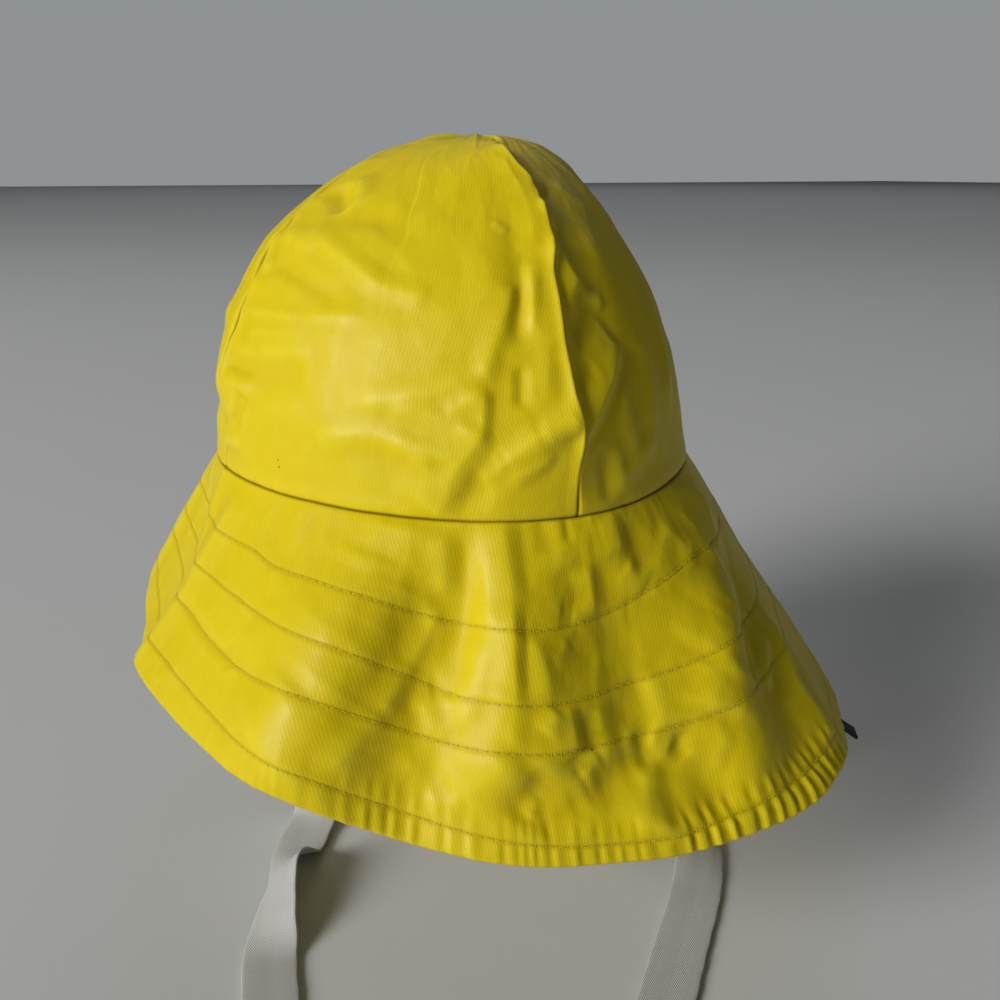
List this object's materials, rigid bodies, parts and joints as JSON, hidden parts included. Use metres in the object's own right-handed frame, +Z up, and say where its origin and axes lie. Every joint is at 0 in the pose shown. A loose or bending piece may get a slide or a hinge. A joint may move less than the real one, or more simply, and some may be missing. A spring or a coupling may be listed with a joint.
{
  "type": "sou'wester rain hat",
  "caption": "Coated cotton rain hat with a domed crown of sewn gores, a brim that is long at the back, and two flat tape ties.",
  "frame": {"origin": "centre of the head opening, in the plane of the seam between crown and brim", "axes": "+Z up through the crown, +Y to the back of the hat, +X to the wearer's left"},
  "size_m": [0.2793, 0.287, 0.2915],
  "materials": {
    "coated_cotton": "satin wax-like coating over plain woven cotton",
    "twill_tape": "herringbone twill, matt",
    "dark_tape": "matt woven tape"
  },
  "bodies": {
    "root": {"crown_gore_back_left": "coated_cotton", "crown_gore_front_left": "coated_cotton", "crown_gore_front_right": "coated_cotton", "crown_gore_back_right": "coated_cotton", "brim": "coated_cotton", "tie_left": "twill_tape", "tie_right": "twill_tape", "rim_tab": "dark_tape"}
  },
  "joints": []
}
